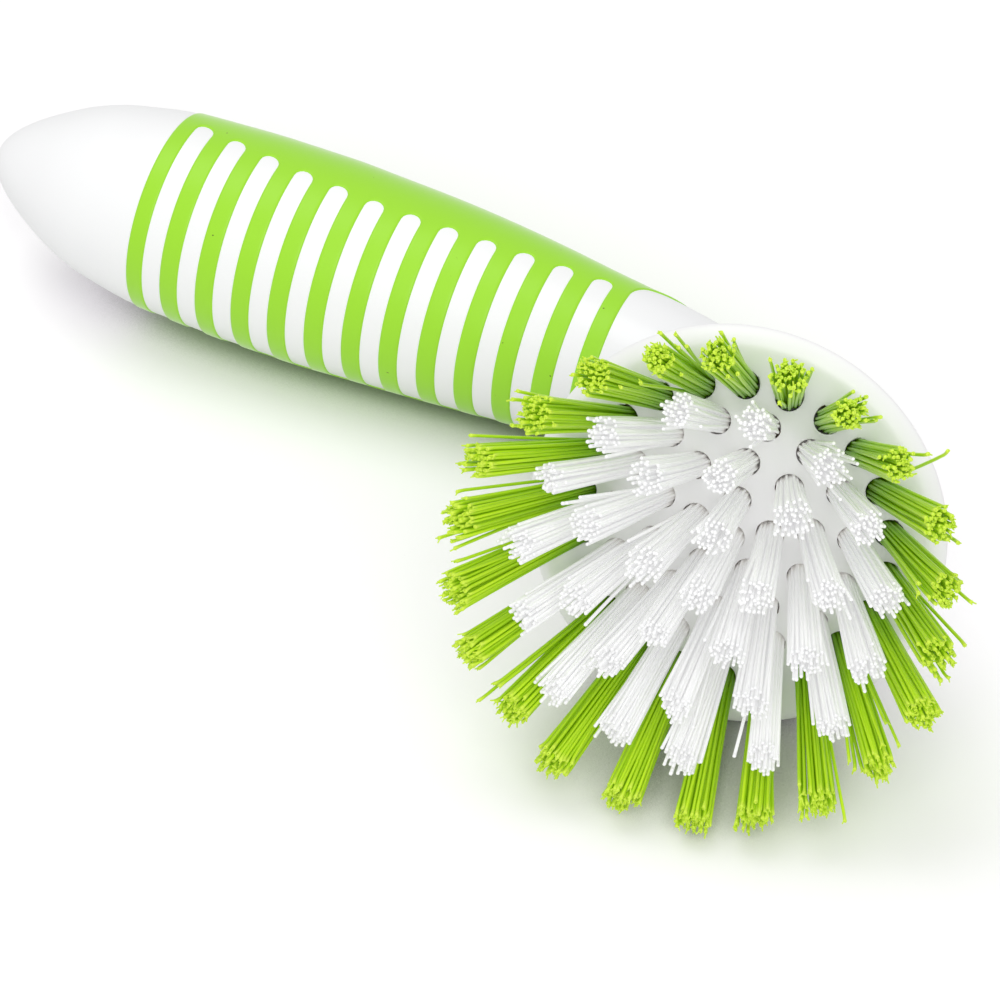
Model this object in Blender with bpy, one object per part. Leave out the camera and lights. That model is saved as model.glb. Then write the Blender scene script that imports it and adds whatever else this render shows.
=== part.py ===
# Kitchen brush: a round head with a crown of tufts on a thick handle with a soft grip.
# It lies on its side on a table, on the grip and on the edge of the head.
# Everything is first built in the brush's own frame: the origin is the centre of the outer
# ring of tufts, +Z points out along the bristles and +X runs along the handle.
# At the end one empty lays the whole brush down. Lengths are in metres.
import math

import bmesh
import bpy
import numpy as np
from mathutils import Matrix, Vector

# Rings of tufts
outer_ring_radius = 0.025
outer_ring_tufts = 22
inner_ring_step_share = 0.256
inner_ring_tufts = (5, 10, 15)
inner_ring_turns_deg = (57.0, 20.0, 2.0)
outer_tuft_lean_deg = 29.4

# Tufts: a bundle of strands on a plug that sits in a blind hole
green_tuft_length = 0.0287
white_tuft_length = 0.0267
tuft_hole_share = 0.09
tuft_hole_radius = tuft_hole_share * outer_ring_radius
tuft_hole_depth = 0.006
tuft_flare = 0.0011
strand_wall = 0.00022
strands_per_tuft = 7
strand_length_shares = (1.0, 0.965, 0.99, 0.975, 1.0, 0.96, 0.985)

# Head block: dome, rounded rim and a plug for the handle's cup
dome_rise = 0.0025
rim_radius = 0.033
rim_drop = 0.0048
seam_drop = 0.0068
seam_radius = 0.0326
plug_radius = 0.0279
plug_length = 0.0038

# Handle: a straight thick body, a bent neck and a bell that ends in the cup
handle_offset = 0.0522
handle_rise_deg = 6.9
handle_length = 0.1485
handle_radius = 0.0179
bend_start = 0.030
bend_reach = 0.019
bend_drop = 0.013
neck_radius = 0.0118
bell_depth = 0.0185

# Soft grip, set into the handle and standing a little proud of it
grip_far_edge = 0.1157
grip_depth = 0.0012
grip_proud = 0.0005
slot_count = 12
slot_pitch = 0.00677
slot_width = 0.0029
slot_first_inset = 0.0048
grip_last_band = 0.0046
slot_reach_deg = 67.0
slot_reach_gain_deg = 16.0
slot_tip_share = 0.2
tongue_end = 0.0116
tongue_edge_drop = 0.0012
tongue_tip_drop = 0.0045
tongue_corner = 0.004

# Fits and cuts
fit_gap = 0.0003
overrun = 0.002

# How the brush lies
bristle_lift_deg = 21.5
handle_heading_deg = 23.4
slant_limit = 0.35
slant_halvings = 60

# Handle outline from its far end to the bend: shares of its length and of its radius
handle_outline_shares = (
    (0.999, 0.06), (0.988, 0.24), (0.969, 0.39), (0.933, 0.59), (0.896, 0.745),
    (0.855, 0.86), (0.793, 0.944), (0.73, 0.982), (0.66, 0.998), (0.59, 1.0),
    (0.52, 0.988), (0.45, 0.962), (0.38, 0.92), (0.31, 0.862), (0.25, 0.805),
)
# Bend of the neck: shares of its run and of the way from the handle's radius to the neck's
bend_outline_shares = ((0.0, 0.0), (0.2, 0.3), (0.4, 0.55), (0.6, 0.8), (0.8, 0.95), (1.0, 1.0))
# Bell outside, from the neck to the seam: shares of its depth and of its flare
bell_outline_shares = ((0.2, 0.06), (0.36, 0.22), (0.5, 0.48), (0.64, 0.74), (0.8, 0.91), (1.0, 1.0))
# Dome, from its middle to the outer ring: shares of the outer ring's radius
dome_shares = (0.12, 0.4, 0.7, 1.0)
# Dome shoulder, from the outer ring to the rim: shares of the way out and of the way down
shoulder_shares = ((0.35, 0.17), (0.65, 0.38), (0.88, 0.68), (1.0, 1.0))

round_sides = 24
head_sides = 36
hole_sides = 7
slot_steps = 9


def clear_scene():
    for thing in list(bpy.data.objects):
        bpy.data.objects.remove(thing, do_unlink=True)


def make_material(name, color, roughness):
    material = bpy.data.materials.new(name)
    material.use_nodes = True
    shader = material.node_tree.nodes["Principled BSDF"]
    shader.inputs["Base Color"].default_value = (*color, 1.0)
    shader.inputs["Roughness"].default_value = roughness
    shader.inputs["Metallic"].default_value = 0.0
    return material


def finish_mesh(mesh_name, shape, sharp_deg=35.0):
    bmesh.ops.recalc_face_normals(shape, faces=shape.faces)
    mesh = bpy.data.meshes.new(mesh_name)
    shape.to_mesh(mesh)
    shape.free()
    mesh.shade_smooth()
    mesh.set_sharp_from_angle(angle=math.radians(sharp_deg))
    return mesh


def add_object(name, mesh, material, parent):
    thing = bpy.data.objects.new(name, mesh)
    if material is not None and not mesh.materials:
        mesh.materials.append(material)
    bpy.context.scene.collection.objects.link(thing)
    thing.parent = parent
    return thing


def add_cutter(name, mesh, parent):
    cutter = add_object(name, mesh, None, parent)
    cutter.hide_render = True
    cutter.display_type = "WIRE"
    return cutter


def cut(target, cutter):
    modifier = target.modifiers.new("cut_" + cutter.name, "BOOLEAN")
    modifier.operation = "DIFFERENCE"
    modifier.solver = "EXACT"
    modifier.object = cutter


# A solid swept through circles. Each circle is a pair of its frame and its radius.
# A closed sweep runs back into its first circle, as a sleeve does.
def sweep(circles, sides, closed):
    shape = bmesh.new()
    frame, radius = circles[0]
    bmesh.ops.create_circle(shape, segments=sides, radius=radius, matrix=frame)
    edges = list(shape.edges)
    if not closed:
        bmesh.ops.contextual_create(shape, geom=edges)
    targets = circles[1:] + (circles[:1] if closed else [])
    for next_frame, next_radius in targets:
        swept = bmesh.ops.extrude_edge_only(shape, edges=edges)["geom"]
        verts = {item for item in swept if isinstance(item, bmesh.types.BMVert)}
        edges = [edge for vert in verts for edge in vert.link_edges if edge.other_vert(vert) in verts]
        edges = list(set(edges))
        step = next_frame @ Matrix.Scale(next_radius / radius, 4) @ frame.inverted()
        bmesh.ops.transform(shape, matrix=step, verts=list(verts))
        frame, radius = next_frame, next_radius
    if closed:
        bmesh.ops.remove_doubles(shape, verts=shape.verts, dist=fit_gap / 10.0)
    else:
        bmesh.ops.contextual_create(shape, geom=edges)
    return shape


# Height of the dome over the outer ring
def dome_height(radius):
    return dome_rise * (1.0 - (radius / outer_ring_radius) ** 2)


def level_frame(height):
    return Matrix.Translation((0.0, 0.0, height))


# Direction in which the handle's axis runs away from the head
def handle_direction():
    rise = math.radians(handle_rise_deg)
    return Vector((math.cos(rise), 0.0, -math.sin(rise)))


# Centre and direction of the handle's axis at a distance from the head's axis.
# Under bend_start the neck follows a curve down to the head.
def axis_point(distance):
    along = handle_direction()
    origin = Vector((0.0, 0.0, -handle_offset))
    if distance >= bend_start:
        return origin + along * distance, along
    start = origin + along * bend_start
    end = Vector((0.0, 0.0, -seam_drop - bell_depth))
    lead = start - along * bend_reach
    tail = end - Vector((0.0, 0.0, bend_drop))
    share = 1.0 - distance / bend_start
    rest = 1.0 - share
    point = start * rest**3 + lead * (3.0 * rest**2 * share) + tail * (3.0 * rest * share**2) + end * share**3
    slope = (lead - start) * rest**2 + (tail - lead) * (2.0 * rest * share) + (end - tail) * share**2
    return point, -slope.normalized()


# Frame of a cross-section: local Z along the axis, local X towards the bristle side
def section_frame(distance):
    point, along = axis_point(distance)
    across = Vector((0.0, -1.0, 0.0))
    under = across.cross(along)
    frame = Matrix((under, across, along)).transposed().to_4x4()
    frame.translation = point
    return frame


# Radius of the white handle at a distance from the head's axis
def handle_radius_at(distance):
    places = [length_share * handle_length for length_share, _ in handle_outline_shares]
    radii = [radius_share * handle_radius for _, radius_share in handle_outline_shares]
    bend_radius = float(np.interp(bend_start, places[::-1], radii[::-1]))
    for run_share, way_share in bend_outline_shares[1:]:
        places.append(bend_start * (1.0 - run_share))
        radii.append(bend_radius + (neck_radius - bend_radius) * way_share)
    order = np.argsort(places)
    return float(np.interp(distance, np.array(places)[order], np.array(radii)[order]))


# Distances of the handle's cross-sections between two places, far one first
def section_places(far, near):
    places = [length_share * handle_length for length_share, _ in handle_outline_shares]
    places += [bend_start * (1.0 - run_share) for run_share, _ in bend_outline_shares]
    inside = [place for place in places if near + fit_gap < place < far - fit_gap]
    return [far] + sorted(inside, reverse=True) + [near]


def handle_core_mesh():
    circles = []
    for place in section_places(handle_outline_shares[0][0] * handle_length, 0.0):
        circles.append((section_frame(place), handle_radius_at(place)))
    turn = section_frame(0.0).to_3x3().to_4x4()
    neck_end = -seam_drop - bell_depth
    for depth_share, flare_share in bell_outline_shares:
        height = neck_end + (bell_depth - fit_gap) * depth_share
        radius = neck_radius + (seam_radius - neck_radius) * flare_share
        circles.append((level_frame(height) @ turn, radius))
    mouth = -seam_drop - fit_gap
    floor = mouth - plug_length
    socket_radius = plug_radius + fit_gap
    circles.append((level_frame(mouth) @ turn, socket_radius))
    circles.append((level_frame(floor) @ turn, socket_radius))
    return finish_mesh("handle_core", sweep(circles, round_sides, closed=False))


# A sleeve round the handle between two depths, which may be negative for outside
def sleeve_mesh(name, far, near, depth, proud):
    places = section_places(far, near)
    circles = [(section_frame(place), handle_radius_at(place) + proud) for place in places]
    circles += [(section_frame(place), handle_radius_at(place) - depth) for place in reversed(places)]
    return finish_mesh(name, sweep(circles, round_sides, closed=True))


# One slot's cutter is swept round the handle's axis, with round ends.
# The slots reach further round at both ends of the row.
def slots_mesh(name, width):
    shape = bmesh.new()
    for index in range(slot_count):
        off_middle = 2.0 * index / (slot_count - 1) - 1.0
        reach = math.radians(slot_reach_deg + slot_reach_gain_deg * off_middle**2)
        place = grip_far_edge - slot_first_inset - index * slot_pitch
        radius = handle_radius_at(place)
        frame = section_frame(place)
        end_run = width / 2.0 / radius
        inner = radius - grip_depth - overrun
        outer = radius + grip_proud + overrun
        loops = []
        for step in range(slot_steps + 1):
            side = math.cos(math.pi * step / slot_steps)
            angle = reach * side
            past = max(0.0, (abs(angle) - (reach - end_run)) / end_run)
            half = width / 2.0 * max(slot_tip_share, math.sqrt(max(0.0, 1.0 - past * past)))
            towards = Vector((math.cos(angle), math.sin(angle), 0.0))
            corners = (
                towards * inner + Vector((0.0, 0.0, -half)),
                towards * inner + Vector((0.0, 0.0, half)),
                towards * outer + Vector((0.0, 0.0, half)),
                towards * outer + Vector((0.0, 0.0, -half)),
            )
            verts = [shape.verts.new(frame @ corner) for corner in corners]
            loops.append([shape.edges.new((verts[i - 1], verts[i])) for i in range(4)])
        for first, second in zip(loops[:-1], loops[1:]):
            bmesh.ops.bridge_loops(shape, edges=first + second)
        for loop in (loops[0], loops[-1]):
            bmesh.ops.contextual_create(shape, geom=loop)
    return finish_mesh(name, shape)


# Takes away the bristle side of the neck, so that the grip ends in a tongue along its back.
# The growth moves the cut back for the grip and forward for the recess.
def tongue_cutter_mesh(name, growth):
    front = grip_far_edge - slot_first_inset - (slot_count - 1) * slot_pitch - slot_width / 2.0 - grip_last_band
    frame = section_frame(front)
    near_point, _ = axis_point(tongue_end)
    tip = frame.inverted() @ near_point
    span = handle_radius + overrun
    tip_x = tip.x - tongue_tip_drop
    corners = (
        Vector((span, 0.0, -growth)),
        Vector((tongue_edge_drop + tongue_corner, 0.0, -growth)),
        Vector((tongue_edge_drop + growth, 0.0, -tongue_corner)),
        Vector((tip_x + growth, 0.0, tip.z - overrun)),
        Vector((span + handle_offset, 0.0, tip.z - overrun)),
    )
    shape = bmesh.new()
    verts = [shape.verts.new(frame @ (corner + Vector((0.0, span, 0.0)))) for corner in corners]
    face = shape.faces.new(verts)
    swept = bmesh.ops.extrude_face_region(shape, geom=[face])
    moved = [item for item in swept["geom"] if isinstance(item, bmesh.types.BMVert)]
    bmesh.ops.translate(shape, verts=moved, vec=(0.0, 2.0 * span, 0.0))
    return finish_mesh(name, shape)


def head_block_mesh():
    circles = []
    for share in dome_shares:
        radius = outer_ring_radius * share
        circles.append((level_frame(dome_height(radius)), radius))
    for out_share, down_share in shoulder_shares:
        radius = outer_ring_radius + (rim_radius - outer_ring_radius) * out_share
        circles.append((level_frame(-rim_drop * down_share), radius))
    circles.append((level_frame(-seam_drop), seam_radius))
    circles.append((level_frame(-seam_drop), plug_radius))
    circles.append((level_frame(-seam_drop - plug_length + fit_gap), plug_radius))
    return finish_mesh("head_block", sweep(circles, head_sides, closed=False))


# Where each tuft stands: its ring, its number, its frame with Z along the tuft
def tuft_places():
    rings = [("green_tuft", outer_ring_radius, outer_ring_tufts, 0.0)]
    for index, count in enumerate(inner_ring_tufts):
        radius = inner_ring_step_share * outer_ring_radius * (index + 1)
        rings.append((f"white_tuft_ring{index + 1}", radius, count, inner_ring_turns_deg[index]))
    places = [("white_tuft_centre", Matrix.Translation((0.0, 0.0, dome_height(0.0))))]
    for name, radius, count, turn_deg in rings:
        lean = math.radians(outer_tuft_lean_deg) * radius / outer_ring_radius
        for number in range(count):
            turn = math.radians(turn_deg) + 2.0 * math.pi * number / count
            spot = Matrix.Translation((radius, 0.0, dome_height(radius)))
            frame = Matrix.Rotation(turn, 4, "Z") @ spot @ Matrix.Rotation(lean, 4, "Y")
            places.append((f"{name}_{number + 1:02d}", frame))
    return places


def holes_mesh(places):
    shape = bmesh.new()
    length = tuft_hole_depth + overrun
    for _, frame in places:
        middle = frame @ Matrix.Translation((0.0, 0.0, overrun - length / 2.0))
        bmesh.ops.create_cone(
            shape, cap_ends=True, segments=hole_sides, radius1=tuft_hole_radius,
            radius2=tuft_hole_radius, depth=length, matrix=middle,
        )
    return finish_mesh("tuft_holes", shape)


# A tuft's plug with its strands fused to it, each strand a three-sided prism that leans out
def tuft_mesh(name, free_length, material):
    shape = bmesh.new()
    plug = tuft_hole_depth - 2.0 * fit_gap
    radius = tuft_hole_radius - fit_gap
    middle = Matrix.Translation((0.0, 0.0, -fit_gap - plug / 2.0))
    bmesh.ops.create_cone(
        shape, cap_ends=True, segments=strands_per_tuft, radius1=radius,
        radius2=radius, depth=plug, matrix=middle,
    )
    top = max(shape.faces, key=lambda face: face.calc_center_median().z)
    fan = bmesh.ops.poke(shape, faces=[top])["faces"]
    bmesh.ops.inset_individual(shape, faces=fan, thickness=strand_wall)
    strands = bmesh.ops.extrude_discrete_faces(shape, faces=fan)["faces"]
    for strand, length_share in zip(strands, strand_length_shares):
        centre = strand.calc_center_median()
        outward = Vector((centre.x, centre.y, 0.0)).normalized()
        shift = outward * tuft_flare + Vector((0.0, 0.0, free_length * length_share))
        bmesh.ops.translate(shape, verts=strand.verts, vec=shift)
    mesh = finish_mesh(name, shape, sharp_deg=50.0)
    mesh.materials.append(material)
    return mesh


def points_of(things):
    stacks = []
    for thing in things:
        frame = thing.matrix_basis
        stacks.append(np.array([frame @ vert.co for vert in thing.data.vertices]))
    return np.concatenate(stacks)


# Upward direction in the brush's own frame, for a slant of the handle
def up_direction(slant):
    lift = math.sin(math.radians(bristle_lift_deg))
    return np.array((slant, -math.sqrt(1.0 - slant * slant - lift * lift), lift))


# Finds the slant at which the grip and the lowest point at the head stand at one height
def resting_slant(head_points, grip_points):
    low, high = -slant_limit, slant_limit
    for _ in range(slant_halvings):
        slant = (low + high) / 2.0
        up = up_direction(slant)
        if (head_points @ up).min() > (grip_points @ up).min():
            low = slant
        else:
            high = slant
    return (low + high) / 2.0


def resting_frame(head_points, grip_points):
    slant = resting_slant(head_points, grip_points)
    up = Vector(up_direction(slant))
    along = handle_direction()
    flat = (along - up * along.dot(up)).normalized()
    side = up.cross(flat)
    heading = math.radians(handle_heading_deg)
    world_flat = Vector((-math.cos(heading), math.sin(heading), 0.0))
    world_up = Vector((0.0, 0.0, 1.0))
    world_side = world_up.cross(world_flat)
    own = Matrix((flat, side, up))
    world = Matrix((world_flat, world_side, world_up)).transposed()
    return (world @ own).to_4x4()


# Lays the empty down, with the middle of the brush's box over the origin
def lay_down(pose, head_things, grip):
    head_points = points_of(head_things)
    grip_points = points_of([grip])
    turn = resting_frame(head_points, grip_points)
    points = np.concatenate((head_points, grip_points)) @ np.array(turn.to_3x3()).T
    low = points.min(axis=0)
    middle = (low + points.max(axis=0)) / 2.0
    pose.rotation_euler = turn.to_euler()
    pose.location = (-middle[0], -middle[1], -low[2])


def build():
    clear_scene()
    white_plastic = make_material("white_plastic", (0.86, 0.86, 0.86), 0.32)
    head_plastic = make_material("head_plastic", (0.84, 0.86, 0.83), 0.38)
    green_rubber = make_material("green_rubber", (0.34, 0.70, 0.035), 0.55)
    green_nylon = make_material("green_nylon", (0.38, 0.66, 0.03), 0.4)
    white_nylon = make_material("white_nylon", (0.88, 0.88, 0.88), 0.4)

    pose = bpy.data.objects.new("lying_pose", None)
    bpy.context.scene.collection.objects.link(pose)

    core = add_object("handle_core", handle_core_mesh(), white_plastic, pose)
    grip_body = sleeve_mesh("grip", grip_far_edge, tongue_end, grip_depth, grip_proud)
    grip = add_object("grip", grip_body, green_rubber, pose)
    cut(grip, add_cutter("slots", slots_mesh("slots", slot_width), pose))
    cut(grip, add_cutter("grip_front", tongue_cutter_mesh("grip_front", 0.0), pose))

    recess_body = sleeve_mesh(
        "recess", grip_far_edge + fit_gap, tongue_end - fit_gap, grip_depth + fit_gap, overrun,
    )
    recess = add_cutter("recess", recess_body, pose)
    cut(recess, add_cutter("ribs", slots_mesh("ribs", slot_width - 2.0 * fit_gap), pose))
    cut(recess, add_cutter("recess_front", tongue_cutter_mesh("recess_front", fit_gap), pose))
    cut(core, recess)

    places = tuft_places()
    head = add_object("head_block", head_block_mesh(), head_plastic, pose)
    cut(head, add_cutter("tuft_holes", holes_mesh(places), pose))

    green_mesh = tuft_mesh("green_tuft", green_tuft_length, green_nylon)
    white_mesh = tuft_mesh("white_tuft", white_tuft_length, white_nylon)
    tufts = []
    for name, frame in places:
        mesh = green_mesh if name.startswith("green") else white_mesh
        tuft = add_object(name, mesh, None, pose)
        tuft.matrix_basis = frame
        tufts.append(tuft)

    lay_down(pose, [core, head] + tufts, grip)


build()
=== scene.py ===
import math
import random

import bmesh
import bpy
import numpy as np
from mathutils import Matrix, Vector


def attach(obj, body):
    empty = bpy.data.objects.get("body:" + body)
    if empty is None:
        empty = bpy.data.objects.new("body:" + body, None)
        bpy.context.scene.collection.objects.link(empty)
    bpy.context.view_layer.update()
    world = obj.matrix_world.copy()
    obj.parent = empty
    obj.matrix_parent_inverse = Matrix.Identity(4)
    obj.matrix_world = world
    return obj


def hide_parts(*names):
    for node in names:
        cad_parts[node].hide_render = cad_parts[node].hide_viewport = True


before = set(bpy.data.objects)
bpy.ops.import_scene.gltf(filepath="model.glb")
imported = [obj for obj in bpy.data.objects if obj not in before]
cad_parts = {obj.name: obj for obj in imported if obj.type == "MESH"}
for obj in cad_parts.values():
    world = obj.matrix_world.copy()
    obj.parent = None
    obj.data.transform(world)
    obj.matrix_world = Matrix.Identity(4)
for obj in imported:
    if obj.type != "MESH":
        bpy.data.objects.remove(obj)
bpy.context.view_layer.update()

random.seed(7)

# The brush is modelled in its own frame, with the head's axis along Z and the handle along X,
# and every mesh is then laid down on the table as the frame lies.
lie = {
    "liftDeg": 21.5,  # how far the bristles point above the table
    "slant": 0.1050797,  # rise of the head's X axis
    "headingDeg": 23.4,  # the handle's way over the table
    "place": (0.044781, -0.0362996, 0.0323052),
}

handle = {
    "offset": 0.0522,  # handle axis behind the tufts' outer ring
    "riseDeg": 6.9,
    "length": 0.1485,
    "radius": 0.0178,
    "outline": (  # shares of the length and of the radius
        (1.0, 0.0), (0.988, 0.24), (0.969, 0.39), (0.933, 0.59), (0.896, 0.75),
        (0.855, 0.865), (0.793, 0.949), (0.73, 0.979), (0.66, 0.999), (0.59, 1.0),
        (0.52, 0.977), (0.45, 0.949), (0.38, 0.908), (0.31, 0.857), (0.25, 0.807),
    ),
    "bowStart": 0.073,
    "bowRise": 0.003,
    "bendStart": 0.030,
    "bendReach": 0.019,
    "bendDrop": 0.013,
    "neckRadius": 0.0118,
    "bendOutline": ((0.0, 0.0), (0.2, 0.4), (0.4, 0.65), (0.6, 0.85), (0.8, 0.96), (1.0, 1.0)),
    "bellDepth": 0.0185,
    "bellOutline": (  # shares of the way up and of the way out
        (0.0, 0.0), (0.2, 0.06), (0.36, 0.22), (0.5, 0.48), (0.64, 0.74), (0.8, 0.91), (1.0, 1.0),
    ),
    "seamDrop": 0.0068,
    "seamRadius": 0.0316,
    "lip": 0.00025,  # rounding along the seam
    "lipSteps": 4,
    "socketRadius": 0.0282,
    "socketDepth": 0.0038,
    "seamGap": 0.0003,
    "swell": 0.0003,
    "swellEnds": (0.1157, 0.0315),
    "swellFade": 0.009,
    "tipReach": 0.022,  # stretch of close rings round the far tip
    "tipRings": 24,
    "bodyRings": 45,
    "neckRings": 24,
    "bellPoints": 30,
    "sides": 112,
}


def layFrame():
    lift = math.sin(math.radians(lie["liftDeg"]))
    slant = lie["slant"]
    up = Vector((slant, -math.sqrt(1.0 - slant * slant - lift * lift), lift))
    rise = math.radians(handle["riseDeg"])
    along = Vector((math.cos(rise), 0.0, -math.sin(rise)))
    flat = (along - up * along.dot(up)).normalized()
    heading = math.radians(lie["headingDeg"])
    tableFlat = Vector((-math.cos(heading), math.sin(heading), 0.0))
    tableUp = Vector((0.0, 0.0, 1.0))
    own = Matrix((flat, up.cross(flat), up))
    table = Matrix((tableFlat, tableUp.cross(tableFlat), tableUp)).transposed()
    result = (table @ own).to_4x4()
    result.translation = Vector(lie["place"])
    return result


laid = layFrame()


# A cubic through points that doesn't overshoot them
def smoothThrough(xs, ys, at):
    xs, ys, at = np.array(xs, float), np.array(ys, float), np.array(at, float)
    step = np.diff(xs)
    rate = np.diff(ys) / step
    slope = np.empty_like(ys)
    slope[0], slope[-1] = rate[0], rate[-1]
    for i in range(1, len(xs) - 1):
        if rate[i - 1] * rate[i] <= 0.0:
            slope[i] = 0.0
        else:
            slope[i] = 2.0 / (1.0 / rate[i - 1] + 1.0 / rate[i])
    i = np.clip(np.searchsorted(xs, at) - 1, 0, len(xs) - 2)
    t = (at - xs[i]) / step[i]
    return (
        ys[i] * (1 + 2 * t) * (1 - t) ** 2 + ys[i + 1] * t * t * (3 - 2 * t)
        + step[i] * (slope[i] * t * (1 - t) ** 2 - slope[i + 1] * t * t * (1 - t))
    )


# An outline of corners, rounded to a smooth line of many points
def smoothLine(corners, count):
    corners = np.array(corners, float)
    run = np.concatenate(([0.0], np.cumsum(np.linalg.norm(np.diff(corners, axis=0), axis=1))))
    at = np.linspace(0.0, run[-1], count)
    return list(zip(smoothThrough(run, corners[:, 0], at), smoothThrough(run, corners[:, 1], at)))


# The angles of a turn in equal steps, without its start
def turnSteps(whole, count):
    return [whole * i / count for i in range(1, count + 1)]


# Centre and direction of the handle's axis at a distance from the head's axis. Towards the head
# it first bows up a little, and then bends round to the bell.
def axisPoint(distance):
    rise = math.radians(handle["riseDeg"])
    along = Vector((math.cos(rise), 0.0, -math.sin(rise)))
    bend = handle["bendStart"]
    run = handle["bowStart"] - bend
    reached = max(distance, bend)
    bow = handle["bowRise"] * max(0.0, (handle["bowStart"] - reached) / run) ** 2
    start = Vector((0.0, 0.0, bow - handle["offset"])) + along * reached
    if distance >= bend:
        return start, along
    bowed = along - Vector((0.0, 0.0, 2.0 * handle["bowRise"] / run))
    end = Vector((0.0, 0.0, -handle["seamDrop"] - handle["bellDepth"]))
    lead = start - bowed * handle["bendReach"]
    tail = end - Vector((0.0, 0.0, handle["bendDrop"]))
    s = 1.0 - distance / bend
    r = 1.0 - s
    point = start * r**3 + lead * (3 * r * r * s) + tail * (3 * r * s * s) + end * s**3
    slope = -along * (handle["bendReach"] * r * r) + (tail - lead) * (2 * r * s) + (end - tail) * s * s
    return point, -slope.normalized()


# Frame of a cross-section: its X points to the bristle side, its Z runs along the handle
def sectionFrame(distance):
    point, along = axisPoint(distance)
    across = Vector((0.0, -1.0, 0.0))
    section = Matrix((across.cross(along), across, along)).transposed().to_4x4()
    section.translation = point
    return section


# Distances along the handle and the radii there, from the bell to the far tip
def radiusTable():
    rings = sorted((share * handle["length"], out * handle["radius"]) for share, out in handle["outline"])
    bend = handle["bendStart"]
    atBend = float(np.interp(bend, *zip(*rings)))
    for run, way in handle["bendOutline"][1:]:
        rings.append((bend * (1.0 - run), atBend + (handle["neckRadius"] - atBend) * way))
    places, radii = zip(*sorted(rings))
    return np.array(places), np.array(radii)


placeTable, radiiTable = radiusTable()


def handleRadius(distance):
    return math.sqrt(max(0.0, float(smoothThrough(placeTable, radiiTable**2, distance))))


# The white body swells a little under the grip, so that the slots lie nearly flush with the bands
def bodyRadius(distance):
    far, near = handle["swellEnds"]
    fade = handle["swellFade"]
    rising, falling = (distance - near + fade) / fade, (far + fade - distance) / fade
    share = min(1.0, max(0.0, rising), max(0.0, falling))
    return handleRadius(distance) + handle["swell"] * share * share * (3.0 - 2.0 * share)


# Extrudes an open rim, and returns the new rim's edges and its verts
def extrudeRim(shape, edges):
    swept = bmesh.ops.extrude_edge_only(shape, edges=edges)["geom"]
    verts = [item for item in swept if isinstance(item, bmesh.types.BMVert)]
    fresh = set(verts)
    rim = list({edge for vert in verts for edge in vert.link_edges if edge.other_vert(vert) in fresh})
    return rim, verts


# Sweeps a circle through frames and radii, and closes both ends
def sweep(circles, sides):
    shape = bmesh.new()
    section, radius = circles[0]
    bmesh.ops.create_circle(shape, segments=sides, radius=radius, matrix=section)
    edges = list(shape.edges)
    bmesh.ops.contextual_create(shape, geom=edges)
    for nextSection, nextRadius in circles[1:]:
        edges, verts = extrudeRim(shape, edges)
        step = nextSection @ Matrix.Scale(nextRadius / radius, 4) @ section.inverted()
        bmesh.ops.transform(shape, matrix=step, verts=verts)
        section, radius = nextSection, nextRadius
    bmesh.ops.contextual_create(shape, geom=edges)
    bmesh.ops.recalc_face_normals(shape, faces=shape.faces)
    return shape


# Lays a finished shape on the table, as an object that stands for a node of the frame
def finishPiece(name, shape, material, node, sharpDeg=40.0):
    bmesh.ops.transform(shape, matrix=laid, verts=shape.verts)
    mesh = bpy.data.meshes.new(name)
    shape.to_mesh(mesh)
    shape.free()
    mesh.shade_smooth()
    mesh.set_sharp_from_angle(angle=math.radians(sharpDeg))
    mesh.materials.append(material)
    piece = bpy.data.objects.new(name, mesh)
    bpy.context.scene.collection.objects.link(piece)
    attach(piece, "root")
    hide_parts(node)
    return piece


# Wraps a node socket, so that shader maths reads as an expression
class Wire:
    def __init__(self, tree, socket=None):
        self.tree = tree
        self.socket = socket

    def node(self, kind, settings, inputs, output=0):
        made = self.tree.nodes.new(kind)
        for key, value in settings.items():
            if key == "stops":
                ramp = made.color_ramp
                while len(ramp.elements) < len(value):
                    ramp.elements.new(0.5)
                for element, (position, color) in zip(ramp.elements, value):
                    element.position = position
                    element.color = (*color, 1.0)
            else:
                setattr(made, key, value)
        for key, value in inputs.items():
            if isinstance(value, Wire):
                self.tree.links.new(value.socket, made.inputs[key])
            elif isinstance(value, tuple):  # a colour
                made.inputs[key].default_value = (*value, 1.0)
            else:
                made.inputs[key].default_value = value
        return Wire(self.tree, made.outputs[output])

    def maths(self, operation, other):
        return self.node("ShaderNodeMath", {"operation": operation}, {0: self, 1: other})

    def __add__(self, other):
        return self.maths("ADD", other)

    def __mul__(self, other):
        return self.maths("MULTIPLY", other)


def newMaterial(name, fixed):
    material = bpy.data.materials.new(name)
    material.use_nodes = True
    shader = material.node_tree.nodes["Principled BSDF"]
    for key, value in fixed.items():
        shader.inputs[key].default_value = value
    return material, shader, Wire(material.node_tree)


def mixColors(wire, factor, first, second, blend="MIX"):
    settings = {"data_type": "RGBA", "blend_type": blend}
    return wire.node("ShaderNodeMix", settings, {0: factor, 6: first, 7: second}, 2)


# 0 up to the low end of the span and 1 from its high end on
def fadeBetween(wire, value, span):
    return wire.node("ShaderNodeMapRange", {}, {0: value, 1: span[0], 2: span[1]})


def objectNoise(wire, scale, detail):
    at = wire.node("ShaderNodeTexCoord", {}, {}, "Object")
    return wire.node("ShaderNodeTexNoise", {}, {"Vector": at, "Scale": scale, "Detail": detail})


def plug(result, shader, key):
    result.tree.links.new(result.socket, shader.inputs[key])


def plugBump(height, shader, strength, reach):
    inputs = {"Strength": strength, "Distance": reach, "Height": height}
    plug(height.node("ShaderNodeBump", {}, inputs), shader, "Normal")


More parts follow.
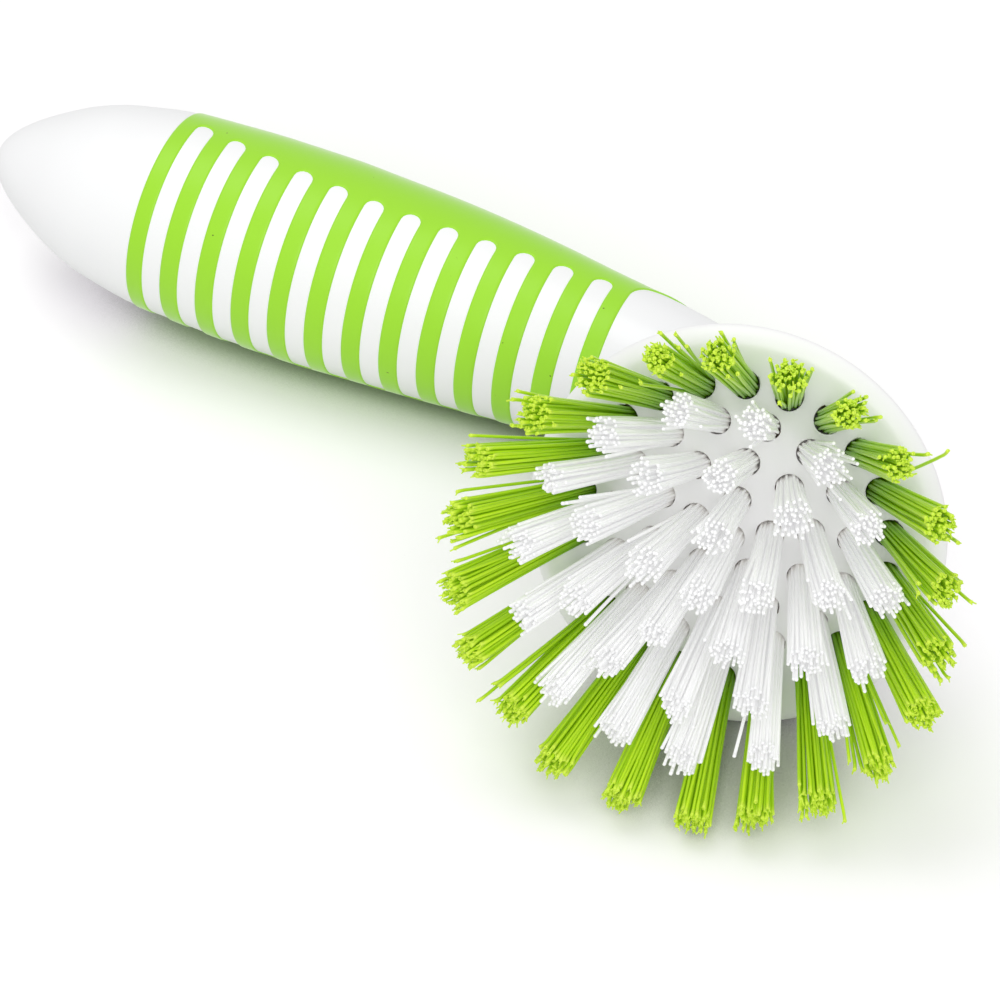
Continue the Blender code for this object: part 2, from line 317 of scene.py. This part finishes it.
# Hard white plastic of the handle and of the head. Cloud scales are in waves per metre.
plastics = {
    "handle": {
        "light": (0.91, 0.915, 0.92),
        "dark": (0.89, 0.892, 0.895),
        "roughness": 0.24,
        "grain": 900.0,
    },
    "head": {
        "light": (0.93, 0.925, 0.93),
        "dark": (0.91, 0.907, 0.91),
        "roughness": 0.32,
        "grain": 1200.0,
    },
    "clouds": 45.0,
    "cloudRoughness": 0.12,
    "bump": (0.06, 0.0002),
}

rubber = {
    "lime": (0.345, 0.73, 0.024),
    "limeDeep": (0.325, 0.70, 0.020),
    "speck": (0.10, 0.16, 0.01),
    "clouds": 60.0,
    "grain": 2600.0,
    "dirt": 900.0,
    "dirtSpan": (0.80, 0.83),
    "roughness": 0.34,
    "grainRoughness": 0.14,
    "bump": (0.10, 0.0001),
    "fixed": {
        "IOR": 1.45, "Metallic": 0.0, "Specular IOR Level": 0.5, "Sheen Weight": 0.7, "Sheen Roughness": 0.3,
    },
}

# The stops run from a filament's hole to its tip, and the shade is what its darkest kind is tinted by
# Emission Strength is a painted glow: how brightly each kind of filament shines by itself
nylons = {
    "greenNylon": {
        # painted shade: the green darkens steeply towards the hole, where the tufts crowd together
        "stops": (
            (0.0, (0.08, 0.20, 0.002)), (0.2, (0.30, 0.60, 0.004)),
            (0.5, (0.50, 0.80, 0.010)), (0.9, (0.57, 0.85, 0.018)),
        ),
        "tip": (0.62, 0.82, 0.06),
        "shade": (0.74, 0.82, 0.6),
        "fixed": {"IOR": 1.53, "Metallic": 0.0, "Specular IOR Level": 0.4, "Emission Strength": 0.04},
    },
    "whiteNylon": {
        "stops": (
            (0.0, (0.84, 0.82, 0.79)), (0.14, (0.93, 0.93, 0.93)),
            (0.5, (0.95, 0.95, 0.95)), (0.9, (0.96, 0.96, 0.96)),
        ),
        "tip": (0.85, 0.85, 0.855),
        "shade": (0.96, 0.96, 0.965),
        "fixed": {"IOR": 1.53, "Metallic": 0.0, "Emission Strength": 0.13},
    },
}
nylonTipSpan = (0.95, 0.99)
nylonRoughness = 0.28
nylonRoughnessGain = 0.15

stain = {
    "clean": (0.86, 0.86, 0.85),
    "brown": (0.12, 0.06, 0.035),
    "spots": 420.0,
    "span": (0.54, 0.62),
    "roughness": 0.6,
}


# Moulded plastic: hardly visible clouds of tone, and a very fine orange peel
def mouldedPlastic(name, kind):
    material, shader, wire = newMaterial(name, {"IOR": 1.49, "Metallic": 0.0})
    clouds = objectNoise(wire, plastics["clouds"], 3.0)
    plug(mixColors(wire, clouds, kind["light"], kind["dark"]), shader, "Base Color")
    plug(clouds * plastics["cloudRoughness"] + kind["roughness"], shader, "Roughness")
    plugBump(objectNoise(wire, kind["grain"], 2.0), shader, *plastics["bump"])
    return material


# Soft rubber with a dull skin, faint clouds, a fine grain and a few specks of dirt
def softRubber(name):
    material, shader, wire = newMaterial(name, rubber["fixed"])
    clouds = objectNoise(wire, rubber["clouds"], 4.0)
    fine = objectNoise(wire, rubber["grain"], 2.0)
    specks = fadeBetween(wire, objectNoise(wire, rubber["dirt"], 1.0), rubber["dirtSpan"])
    skin = mixColors(wire, clouds, rubber["lime"], rubber["limeDeep"])
    plug(mixColors(wire, specks, skin, rubber["speck"]), shader, "Base Color")
    plug(fine * rubber["grainRoughness"] + rubber["roughness"], shader, "Roughness")
    plugBump(fine, shader, *rubber["bump"])
    return material


# Nylon filaments. U is a filament's own chance value, V runs from its hole to its tip.
def nylon(name):
    kind = nylons[name]
    material, shader, wire = newMaterial(name, kind["fixed"])
    ways = wire.node("ShaderNodeUVMap", {"uv_map": "strand"}, {})
    chance = wire.node("ShaderNodeSeparateXYZ", {}, {0: ways}, "X")
    along = wire.node("ShaderNodeSeparateXYZ", {}, {0: ways}, "Y")
    ramp = wire.node("ShaderNodeValToRGB", {"stops": kind["stops"]}, {0: along})
    shaded = mixColors(wire, chance, ramp, kind["shade"], "MULTIPLY")
    color = mixColors(wire, fadeBetween(wire, along, nylonTipSpan), shaded, kind["tip"])
    plug(color, shader, "Base Color")
    plug(color, shader, "Emission Color")  # painted glow: the filaments give off a faint light in their own colour, standing in for light that nylon lets through
    plug(chance * nylonRoughnessGain + nylonRoughness, shader, "Roughness")
    return material


# The holes' walls carry brown spots of water stain
def stainedWall(name):
    material, shader, wire = newMaterial(name, {"Roughness": stain["roughness"]})
    spots = fadeBetween(wire, objectNoise(wire, stain["spots"], 4.0), stain["span"])
    plug(mixColors(wire, spots, stain["clean"], stain["brown"]), shader, "Base Color")
    return material


whitePlastic = mouldedPlastic("whitePlastic", plastics["handle"])
headPlastic = mouldedPlastic("headPlastic", plastics["head"])
limeRubber = softRubber("limeRubber")
greenNylon = nylon("greenNylon")
whiteNylon = nylon("whiteNylon")
holeWall = stainedWall("holeWall")
print("materials made")


# Quarter round along the seam, from the outer wall to the flat at a height. Way is 1 where the
# flat faces up and -1 where it faces down.
def lipRound(height, way):
    lip = handle["lip"]
    return [
        (handle["seamRadius"] - lip + lip * math.cos(turn), height + way * (lip * math.sin(turn) - lip))
        for turn in turnSteps(math.pi / 2, handle["lipSteps"])
    ]


# The white handle: far tip, thick body, bent neck, bell and the cup's mouth
def makeHandle():
    length, bend = handle["length"], handle["bendStart"]
    tipTurns = turnSteps(math.pi / 2, handle["tipRings"])
    distances = [length - handle["tipReach"] * (1.0 - math.cos(turn)) for turn in tipTurns]
    distances += list(np.linspace(length - handle["tipReach"], bend, handle["bodyRings"] + 1)[1:])
    distances += list(np.linspace(bend, 0.0, handle["neckRings"] + 1)[1:])
    circles = [(sectionFrame(distance), bodyRadius(distance)) for distance in distances]
    neck, neckEnd = handle["neckRadius"], -handle["seamDrop"] - handle["bellDepth"]
    flare, mouth = handle["seamRadius"] - neck, -handle["seamDrop"] - handle["seamGap"]
    rise = mouth - handle["lip"] - neckEnd
    bell = [(neck + flare * out, neckEnd + rise * up) for up, out in handle["bellOutline"]]
    rings = smoothLine(bell, handle["bellPoints"])[1:] + lipRound(mouth, 1.0)
    rings.append((handle["socketRadius"], mouth))
    rings.append((handle["socketRadius"], mouth - handle["socketDepth"]))
    facing = sectionFrame(0.0).to_3x3().to_4x4()
    circles += [(Matrix.Translation((0, 0, height)) @ facing, radius) for radius, height in rings]
    finishPiece("handleBody", sweep(circles, handle["sides"]), whitePlastic, "handle_core")


makeHandle()
print("handle made")

grip = {
    "farEdge": 0.1157,
    "proud": 0.0005,
    "sunk": 0.0004,
    "slotCount": 12,
    "slotPitch": 0.00677,
    "slotWidth": 0.0033,
    "slotFirstInset": 0.0048,
    "lastBand": 0.0033,
    "reachDeg": 67.0,
    "reachGainDeg": 16.0,
    "tongueEnd": 0.018,
    "tongueEdge": (  # distance along the handle, and half the angle that the bare neck takes up there
        (0.018, 178.5), (0.0184, 172.0), (0.0193, 166.5), (0.021, 161.0),
        (0.0235, 150.0), (0.026, 135.0), (0.0285, 113.0), (0.0315, 88.0),
    ),
    "corner": 0.0016,
    "edge": 0.00035,
    "edgeSteps": 3,
    "slotCells": 8,
    "bandCells": 5,
    "cornerCells": 6,
    "tongueCells": 26,
    "innerRows": 24,
    "outerRows": 30,
    "weld": 0.000001,
}
slotHalf = grip["slotWidth"] / 2
firstSlot = grip["farEdge"] - grip["slotFirstInset"]
lastSlot = firstSlot - (grip["slotCount"] - 1) * grip["slotPitch"]
gripFront = lastSlot - slotHalf - grip["lastBand"]


# Columns of the grip's grid: the distance along the handle, how far the row that ends the slots
# drops back there, and what kind of cell lies before it
def gripColumns():
    columns = [(grip["farEdge"], 0.0, "band")]

    def addBand(end, endDrop, cells, kind):
        start, startDrop, _ = columns[-1]
        for i in range(1, cells + 1):
            t = i / cells
            drop = startDrop * (1 - t) ** 3 + endDrop * t**3
            columns.append((start + (end - start) * t, drop, kind))

    for index in range(grip["slotCount"]):
        middle = firstSlot - index * grip["slotPitch"]
        addBand(middle + slotHalf, slotHalf, grip["bandCells"], "band")
        for turn in turnSteps(math.pi, grip["slotCells"]):
            columns.append((middle + slotHalf * math.cos(turn), slotHalf * (1 - math.sin(turn)), "slot"))
    corner = grip["corner"]
    addBand(gripFront, corner, grip["bandCells"], "band")
    for turn in turnSteps(math.pi / 2, grip["cornerCells"]):
        columns.append((gripFront - corner * (1 - math.cos(turn)), corner * (1 - math.sin(turn)), "tongue"))
    addBand(grip["tongueEnd"], 0.0, grip["tongueCells"], "tongue")
    return columns


# Half the angle that the slots take up round the handle, and in front of them the bare neck
def slotReach(distance):
    if distance > lastSlot:
        off = 2.0 * (firstSlot - distance) / (firstSlot - lastSlot) - 1.0
        return grip["reachDeg"] + grip["reachGainDeg"] * off * off
    places, angles = zip(*grip["tongueEdge"])
    if distance > gripFront:
        widest = grip["reachDeg"] + grip["reachGainDeg"]
        return widest + (angles[-1] - widest) * (lastSlot - distance) / (lastSlot - gripFront)
    return float(smoothThrough(places, angles, distance))


# The soft grip starts as a flat grid of cells. Its columns follow the edges of the slots and its
# rows follow their round ends, so that the slots are cut by leaving cells out.
def makeGrip():
    columns = gripColumns()
    sections = [(sectionFrame(place), handleRadius(place)) for place, _, _ in columns]
    rowsIn, rowsOut = grip["innerRows"], grip["outerRows"]
    rows = 2 * (rowsIn + rowsOut)
    shape = bmesh.new()
    bmesh.ops.create_grid(shape, x_segments=len(columns) - 1, y_segments=rows, size=1.0)
    distances = shape.verts.layers.float.new("distance")
    cell = {}
    for vert in shape.verts:
        column = round((vert.co.x + 1) / 2 * (len(columns) - 1))
        row = round((vert.co.y + 1) / 2 * rows) - rows // 2
        cell[vert] = (column, row)
        place, drop, _ = columns[column]
        section, radius = sections[column]
        end = math.radians(slotReach(place)) - drop / radius
        if abs(row) <= rowsIn:
            angle = end * row / rowsIn
        else:
            angle = math.copysign(end + (math.pi - end) * (abs(row) - rowsIn) / rowsOut, row)
        vert[distances] = place
        towards = Vector((math.cos(angle), math.sin(angle), 0.0))
        vert.co = section @ (towards * (radius - grip["sunk"]))
    gone = []
    for face in shape.faces:
        column = max(cell[vert][0] for vert in face.verts)
        row = max(abs(cell[vert][1]) for vert in face.verts)
        if columns[column][2] != "band" and row <= rowsIn:
            gone.append(face)
    bmesh.ops.delete(shape, geom=gone, context="FACES")
    bmesh.ops.remove_doubles(shape, verts=shape.verts, dist=grip["weld"])
    raised = bmesh.ops.extrude_face_region(shape, geom=list(shape.faces))["geom"]
    tops = {item for item in raised if isinstance(item, bmesh.types.BMFace)}
    for vert in (item for item in raised if isinstance(item, bmesh.types.BMVert)):
        centre, _ = axisPoint(vert[distances])
        vert.co += (vert.co - centre).normalized() * (grip["sunk"] + grip["proud"])
    bmesh.ops.recalc_face_normals(shape, faces=shape.faces)
    rims = [edge for edge in shape.edges if sum(face in tops for face in edge.link_faces) == 1]
    bmesh.ops.bevel(
        shape, geom=rims, offset=grip["edge"], offset_type="OFFSET", segments=grip["edgeSteps"],
        profile=0.5, affect="EDGES", clamp_overlap=False, material=-1,
    )
    finishPiece("softGrip", shape, limeRubber, "grip", 60.0)


makeGrip()
print("grip made")

# The head's seam is the handle's
head = {
    "ringRadius": 0.025,
    "domeRise": 0.0025,
    "domeSteps": 25,
    "rimRadius": 0.0338,
    "rimDrop": 0.0025,
    "shoulder": (  # from the outer ring: shares of the way out to the rim and of the rim's drop
        (0.0, 0.0), (0.1, 0.03), (0.4, 0.08), (0.68, 0.13),
        (0.74, 0.17), (0.86, 0.43), (0.96, 0.8), (1.0, 1.08),
    ),
    "shoulderPoints": 26,
    "plugRadius": 0.0279,
    "plugLength": 0.0035,
    "holeRadius": 0.00225,
    "holeDepth": 0.006,
    "holeRim": 0.0001,
    "holeSides": 28,
    "overrun": 0.002,  # how far the drills start above the dome
    "sides": 144,
    "weld": 0.000002,
}

tufts = {
    "greenCount": 22,
    "ringStep": 0.0064,
    "whiteCounts": (5, 10, 15),
    "whiteTurnsDeg": (57.0, 20.0, 2.0),
    "leanDeg": 29.4,
    "greenLength": 0.0287,
    "whiteLength": 0.0267,
    "strands": 46,
    "sunflowerTurn": 2.39996,  # the golden angle between one strand and the next
    "strandRadius": 0.00029,
    "strandRadiusRange": (0.92, 1.06),
    "baseRadius": 0.00197,
    "tipRadius": 0.0025,
    "tipJitter": 0.00012,
    "tipDome": 0.0006,  # how much shorter the outermost strands are
    "spreadPower": 1.2,  # above 1 the strands spread more towards their tips
    "bow": 0.0001,
    "lockCounts": (3, 4, 5),
    "lockPush": (0.2, 1.0),
    "lockShift": 0.0004,
    "lockRagged": 0.0004,
    "ragged": 0.0006,
    "strayShare": 0.07,
    "strayShift": (0.0006, 0.0022),
    "looseness": (0.92, 1.18),  # how much one tuft spreads more than another
    "crooked": 0.0005,
    "fray": 0.00014,
    "frayStart": 0.93,  # from this share of its length a strand curls
    "fraySlope": 0.0007,
    "splinters": 2,  # fine split ends on each green strand
    "splinterDrop": 0.0005,
    "splinterLength": 0.0010,
    "splinterLengthRange": (0.6, 1.3),
    "splinterRadius": 0.00015,
    "splinterTaper": 0.8,
    "splinterLean": 0.3,
    "sunk": 0.0015,
    "rings": 5,
    "sides": 6,
    "beadEnd": ((0.978, 1.0), (0.986, 1.06), (0.993, 1.1), (0.998, 0.95), (1.0, 0.55)),
    "frayedEnd": ((0.94, 1.0), (0.965, 1.0), (0.985, 1.12), (0.998, 1.2), (1.0, 0.85)),
    # tufts that stand crooked: how far their ends sway outwards and round, and how much longer
    # they are
    "sways": {
        "green_tuft_22": (0.0012, 0.0010, 0.0008),
        "green_tuft_01": (0.0005, 0.0, 0.0008),
        "green_tuft_02": (0.0004, 0.0008, 0.0006),
        "green_tuft_03": (0.0005, 0.0, 0.0008),
        "green_tuft_13": (-0.0006, 0.0, -0.0007),
        "green_tuft_15": (-0.0005, 0.0, -0.0006),
        "green_tuft_19": (-0.0008, -0.0010, -0.0008),
        "green_tuft_20": (-0.0008, -0.0010, -0.0006),
        "green_tuft_21": (-0.0010, 0.0, -0.0006),
    },
    # single strands that stand off: their ends' place across the tuft, and how much longer they are
    "strays": {
        "green_tuft_19": ((0.0012, -0.0052, 0.001), (0.0032, -0.0034, 0.0002), (-0.0030, 0.0040, -0.004)),
        "green_tuft_01": ((0.0024, -0.0036, -0.001),),
        "green_tuft_02": ((0.0010, -0.0040, -0.002),),
        "green_tuft_04": ((0.0020, -0.0042, 0.0020),),
        "green_tuft_08": ((0.0020, -0.0034, 0.0005),),
        "green_tuft_09": ((0.0026, 0.0034, 0.0028),),
        "green_tuft_10": ((-0.0010, 0.0040, -0.006),),
        "green_tuft_14": ((0.0050, 0.0100, 0.0),),
        "green_tuft_16": ((0.0018, -0.0036, 0.0012),),
        "green_tuft_17": ((0.0010, 0.0036, 0.0012), (0.0024, -0.0028, 0.0004)),
    },
}


def domeHeight(radius):
    return head["domeRise"] * (1.0 - (radius / head["ringRadius"]) ** 2)


# Node name and frame of every tuft, with Z along the tuft and the origin at its hole's mouth
def tuftPlaces():
    rings = [("green_tuft", head["ringRadius"], tufts["greenCount"], 0.0)]
    for index, (count, turnDeg) in enumerate(zip(tufts["whiteCounts"], tufts["whiteTurnsDeg"]), 1):
        rings.append((f"white_tuft_ring{index}", tufts["ringStep"] * index, count, turnDeg))
    places = [("white_tuft_centre", Matrix.Translation((0.0, 0.0, domeHeight(0.0))))]
    for name, radius, count, turnDeg in rings:
        lean = math.radians(tufts["leanDeg"]) * radius / head["ringRadius"]
        for number in range(count):
            turn = math.radians(turnDeg) + 2.0 * math.pi * number / count
            spot = Matrix.Translation((radius, 0.0, domeHeight(radius)))
            place = Matrix.Rotation(turn, 4, "Z") @ spot @ Matrix.Rotation(lean, 4, "Y")
            places.append((f"{name}_{number + 1:02d}", place))
    return places


# The head's half outline, from the middle of the dome round to the end of the plug
def headOutline():
    ring, rim = head["ringRadius"], head["rimRadius"]
    seam = -handle["seamDrop"]
    dome = [ring * t for t in np.linspace(0.0, 1.0, head["domeSteps"] + 1)[:-1]]
    line = [(radius, domeHeight(radius)) for radius in dome]
    shoulder = [(ring + (rim - ring) * out, -head["rimDrop"] * down) for out, down in head["shoulder"]]
    shoulder.append((handle["seamRadius"], seam + handle["lip"]))
    line += smoothLine(shoulder, head["shoulderPoints"]) + lipRound(seam, -1.0)
    bottom = seam - head["plugLength"]
    return line + [(head["plugRadius"], seam), (head["plugRadius"], bottom), (0.0, bottom)]


# The tufts' holes, and the shallow cones that break the holes' edges
def headDrills():
    holes, rims = bmesh.new(), bmesh.new()
    rim, wall = head["holeRim"], head["holeRadius"]
    length = head["holeDepth"] + head["overrun"]
    for _, place in tuftPlaces():
        bmesh.ops.create_cone(
            holes, cap_ends=True, segments=head["holeSides"], radius1=wall, radius2=wall,
            depth=length, matrix=place @ Matrix.Translation((0, 0, head["overrun"] - length / 2)),
        )
        x, y, z = place.translation
        outward = Vector((x, y, head["ringRadius"] ** 2 / (2.0 * head["domeRise"])))
        facing = outward.to_track_quat("Z", "Y").to_matrix().to_4x4()
        facing.translation = place.translation
        bmesh.ops.create_cone(
            rims, cap_ends=True, segments=head["holeSides"], radius1=wall - rim,
            radius2=wall + 3 * rim, depth=4 * rim, matrix=facing,
        )
    drills = []
    for name, shape in (("holes", holes), ("rims", rims)):
        bmesh.ops.transform(shape, matrix=laid, verts=shape.verts)
        mesh = bpy.data.meshes.new(name)
        shape.to_mesh(mesh)
        shape.free()
        mesh.materials.append(holeWall)
        drills.append(bpy.data.objects.new(name, mesh))
        bpy.context.scene.collection.objects.link(drills[-1])
    return drills


# The head's outline is spun round its axis, and the tufts' holes are drilled afterwards
def makeHead():
    shape = bmesh.new()
    verts = [shape.verts.new((radius, 0.0, height)) for radius, height in headOutline()]
    edges = [shape.edges.new(pair) for pair in zip(verts, verts[1:])]
    bmesh.ops.spin(
        shape, geom=verts + edges, axis=(0, 0, 1), cent=(0, 0, 0), angle=math.tau,
        steps=head["sides"], use_merge=True,
    )
    bmesh.ops.remove_doubles(shape, verts=shape.verts, dist=head["weld"])
    bmesh.ops.recalc_face_normals(shape, faces=shape.faces)
    piece = finishPiece("headBlock", shape, headPlastic, "head_block")
    drills = headDrills()
    for drill in drills:
        cut = piece.modifiers.new(drill.name, "BOOLEAN")
        cut.operation = "DIFFERENCE"
        cut.solver = "EXACT"
        cut.material_mode = "TRANSFER"
        cut.object = drill
    bpy.context.view_layer.update()
    graph = bpy.context.evaluated_depsgraph_get()
    drilled = bpy.data.meshes.new_from_object(piece.evaluated_get(graph))
    piece.modifiers.clear()
    piece.data = drilled
    drilled.name = "headBlock"
    for drill in drills:
        bpy.data.objects.remove(drill)


makeHead()
print("head made")


# One straight strand of unit length and unit radius, whose end is thickened and rounded
def strandMesh(ending):
    shape = bmesh.new()
    rings = tufts["rings"]
    bmesh.ops.create_circle(shape, segments=tufts["sides"], radius=1.0)
    edges = list(shape.edges)
    size = 1.0
    for height, scale in [(i / rings, 1.0) for i in range(1, rings)] + list(ending):
        edges, verts = extrudeRim(shape, edges)
        for vert in verts:
            vert.co = Vector((vert.co.x * scale / size, vert.co.y * scale / size, height))
        size = scale
    bmesh.ops.contextual_create(shape, geom=edges)
    bmesh.ops.recalc_face_normals(shape, faces=shape.faces)
    ways = shape.loops.layers.uv.new("strand")
    for face in shape.faces:
        for loop in face.loops:
            loop[ways].uv = (0.0, loop.vert.co.z)
    mesh = bpy.data.meshes.new("strand")
    shape.to_mesh(mesh)
    shape.free()
    return mesh


beadedStrand = strandMesh(tufts["beadEnd"])
frayedStrand = strandMesh(tufts["frayedEnd"])


# A chance shift across a tuft
def jitter(size):
    return Vector((random.gauss(0.0, size), random.gauss(0.0, size), 0.0))


# A fine fibre that has split off a strand's end
def addSplinter(shape, ways, root):
    lean = jitter(tufts["splinterLean"]) + Vector((0.0, 0.0, 1.0))
    length = tufts["splinterLength"] * random.uniform(*tufts["splinterLengthRange"])
    radius = tufts["splinterRadius"]
    facing = lean.to_track_quat("Z", "Y").to_matrix().to_4x4()
    tip = bmesh.ops.create_cone(
        shape, cap_ends=True, segments=4, radius1=radius, radius2=radius * tufts["splinterTaper"],
        depth=length, matrix=Matrix.Translation(root + lean * (length / 2)) @ facing,
    )
    chance = random.uniform(0.0, 0.5)
    for face in {face for vert in tip["verts"] for face in vert.link_faces}:
        for loop in face.loops:
            loop[ways].uv = (chance, 1.0)


# The locks of a tuft: which way each lies, how far its tips shift there, and how much longer it is
def makeLocks():
    locks = []
    for _ in range(random.choice(tufts["lockCounts"])):
        angle = random.uniform(0.0, math.tau)
        push = random.uniform(*tufts["lockPush"]) * tufts["lockShift"]
        way = Vector((math.cos(angle), math.sin(angle), 0.0))
        locks.append((way, push, random.gauss(0.0, tufts["lockRagged"])))
    return locks


# A tuft of strands on one sunflower pattern, close at the hole and spread at the tips. Its strands
# part into a few locks, and some of them stray.
def makeTuft(name, node, place, length, strand, fray, material):
    shape = bmesh.new()
    ways = shape.loops.layers.uv.new("strand")
    count, sunk = tufts["strands"], tufts["sunk"]
    turn = random.uniform(0.0, math.tau)
    locks = makeLocks()
    swayOut, swayRound, longer = tufts["sways"].get(node, (0.0, 0.0, 0.0))
    sway = Vector((swayOut, swayRound, 0.0))
    if node not in tufts["sways"]:
        sway += jitter(tufts["crooked"])
    wide = tufts["tipRadius"] * random.uniform(*tufts["looseness"])
    strays = tufts["strays"].get(node, ())
    frayedEnds = []
    for index in range(count + len(strays)):
        oldVerts, oldFaces = len(shape.verts), len(shape.faces)
        shape.from_mesh(strand)
        shape.verts.ensure_lookup_table()
        shape.faces.ensure_lookup_table()
        spread = math.sqrt((index % count + 0.5) / count)
        angle = turn + index * tufts["sunflowerTurn"]
        towards = Vector((math.cos(angle), math.sin(angle), 0.0))
        lock, push, ragged = max(locks, key=lambda item: item[0].dot(towards))
        start = towards * (tufts["baseRadius"] * spread)
        end = towards * (wide * spread) + lock * (push * spread) + sway + jitter(tufts["tipJitter"])
        own = length + longer + ragged + random.gauss(0.0, tufts["ragged"]) - tufts["tipDome"] * spread
        if index >= count:
            strayOut, strayRound, strayLonger = strays[index - count]
            off = Vector((strayOut, strayRound, 0.0))
            start = off.normalized() * tufts["baseRadius"]
            end = off + sway
            own = length + strayLonger
        elif random.random() < tufts["strayShare"]:
            end += towards * random.uniform(*tufts["strayShift"])
        bow = jitter(tufts["bow"])
        radius = tufts["strandRadius"] * random.uniform(*tufts["strandRadiusRange"])
        curl = jitter(fray)
        slant = jitter(fray) / tufts["fraySlope"]
        for vert in shape.verts[oldVerts:]:
            t = vert.co.z
            late = max(0.0, t - tufts["frayStart"]) / (1.0 - tufts["frayStart"])
            middle = start + (end - start) * t ** tufts["spreadPower"] + bow * math.sin(math.pi * t)
            side = Vector((vert.co.x * radius, vert.co.y * radius, 0.0))
            height = -sunk + (own + sunk) * t + side.dot(slant) * late
            vert.co = middle + curl * late * late + side + Vector((0.0, 0.0, height))
        chance = random.random()
        for face in shape.faces[oldFaces:]:
            for loop in face.loops:
                loop[ways].uv.x = chance
        if fray:
            root = end + curl + Vector((0.0, 0.0, own - tufts["splinterDrop"]))
            frayedEnds += [root] * tufts["splinters"]
    for root in frayedEnds:
        addSplinter(shape, ways, root)
    bmesh.ops.transform(shape, matrix=place, verts=shape.verts)
    finishPiece(name, shape, material, node, 80.0)


for node, place in tuftPlaces():
    if node.startswith("green"):
        makeTuft(
            node.replace("green_tuft", "greenTuft"), node, place, tufts["greenLength"],
            frayedStrand, tufts["fray"], greenNylon,
        )
    else:
        makeTuft(
            node.replace("white_tuft", "whiteTuft"), node, place, tufts["whiteLength"],
            beadedStrand, 0.0, whiteNylon,
        )
print("tufts made")

studio = {
    "floorSize": 6.0,
    "floorShade": (0.80, 0.80, 0.80),  # what the floor throws back on the brush
    "paintedContactShadow": (  # painted contact shadow, its darkest tone tinted green as painted light thrown off the grip: from where the brush all but touches it to the open floor
        (0.08, (0.13, 0.155, 0.115)), (0.2, (0.54, 0.515, 0.55)),
        (0.32, (0.95, 0.90, 0.96)), (0.6, (1.0, 0.99, 1.0)),
    ),
    # how far the floor's painted contact shadow reaches, and how many samples find it
    "paintedShadowReach": 0.024,
    "paintedShadowSamples": 8,
    "worldStrength": 0.69,
    "keyPlace": (-0.35, 0.4, 1.5),
    "keySize": 1.0,
    "keyPower": 5.0,
    "frontPlace": (0.08, -1.3, 1.3),
    "frontSize": 1.5,
    "frontPower": 13.0,
    "cameraPlace": (0.00936, -0.66728, 0.63863),
    "cameraTurnDeg": (46.4751, 0.1872, -0.037),
    "lensMm": 198.85,
    "sensorMm": 36.0,
}


# The camera sees a painted contact shadow on the floor, darkest where the brush closes it in, and the brush
# gets one even shade thrown back
def tableMaterial():
    material, shader, wire = newMaterial("whiteTable", {"Roughness": 1.0, "Specular IOR Level": 0.0})
    seen = wire.node("ShaderNodeLightPath", {}, {}, "Is Camera Ray")
    settings = {"samples": studio["paintedShadowSamples"]}
    # painted shadow: the floor seen by the camera darkens where the brush closes it in
    near = wire.node("ShaderNodeAmbientOcclusion", settings, {"Distance": studio["paintedShadowReach"]}, "AO")
    paintedShadow = wire.node("ShaderNodeValToRGB", {"stops": studio["paintedContactShadow"]}, {0: near})
    plug(mixColors(wire, seen, studio["floorShade"], paintedShadow), shader, "Base Color")
    return material


def makeFloor():
    shape = bmesh.new()
    bmesh.ops.create_grid(shape, x_segments=1, y_segments=1, size=studio["floorSize"] / 2)
    mesh = bpy.data.meshes.new("floor")
    shape.to_mesh(mesh)
    shape.free()
    mesh.materials.append(tableMaterial())
    floor = bpy.data.objects.new("floor", mesh)
    bpy.context.scene.collection.objects.link(floor)


def makeWorld():
    world = bpy.data.worlds.new("softRoom")
    world.use_nodes = True
    background = world.node_tree.nodes["Background"]
    background.inputs["Color"].default_value = (1.0, 1.0, 1.0, 1.0)
    background.inputs["Strength"].default_value = studio["worldStrength"]
    bpy.context.scene.world = world


# A round lamp that faces the brush
def addLamp(name):
    light = bpy.data.lights.new(name, "AREA")
    light.shape = "DISK"
    light.size = studio[f"{name}Size"]
    light.energy = studio[f"{name}Power"]
    lamp = bpy.data.objects.new(name, light)
    bpy.context.scene.collection.objects.link(lamp)
    lamp.location = studio[f"{name}Place"]
    lamp.rotation_euler = (-lamp.location).to_track_quat("-Z", "Y").to_euler()


def makeCamera():
    camera = bpy.data.cameras.new("photoCamera")
    camera.sensor_width = studio["sensorMm"]
    camera.lens = studio["lensMm"]
    camera.clip_start = 0.05
    camera.clip_end = 20.0
    stand = bpy.data.objects.new("photoCamera", camera)
    bpy.context.scene.collection.objects.link(stand)
    stand.location = studio["cameraPlace"]
    stand.rotation_euler = [math.radians(angle) for angle in studio["cameraTurnDeg"]]
    bpy.context.scene.camera = stand
    bpy.context.scene.view_settings.view_transform = "Standard"


makeFloor()
makeWorld()
addLamp("key")
addLamp("front")
makeCamera()
print("studio made")
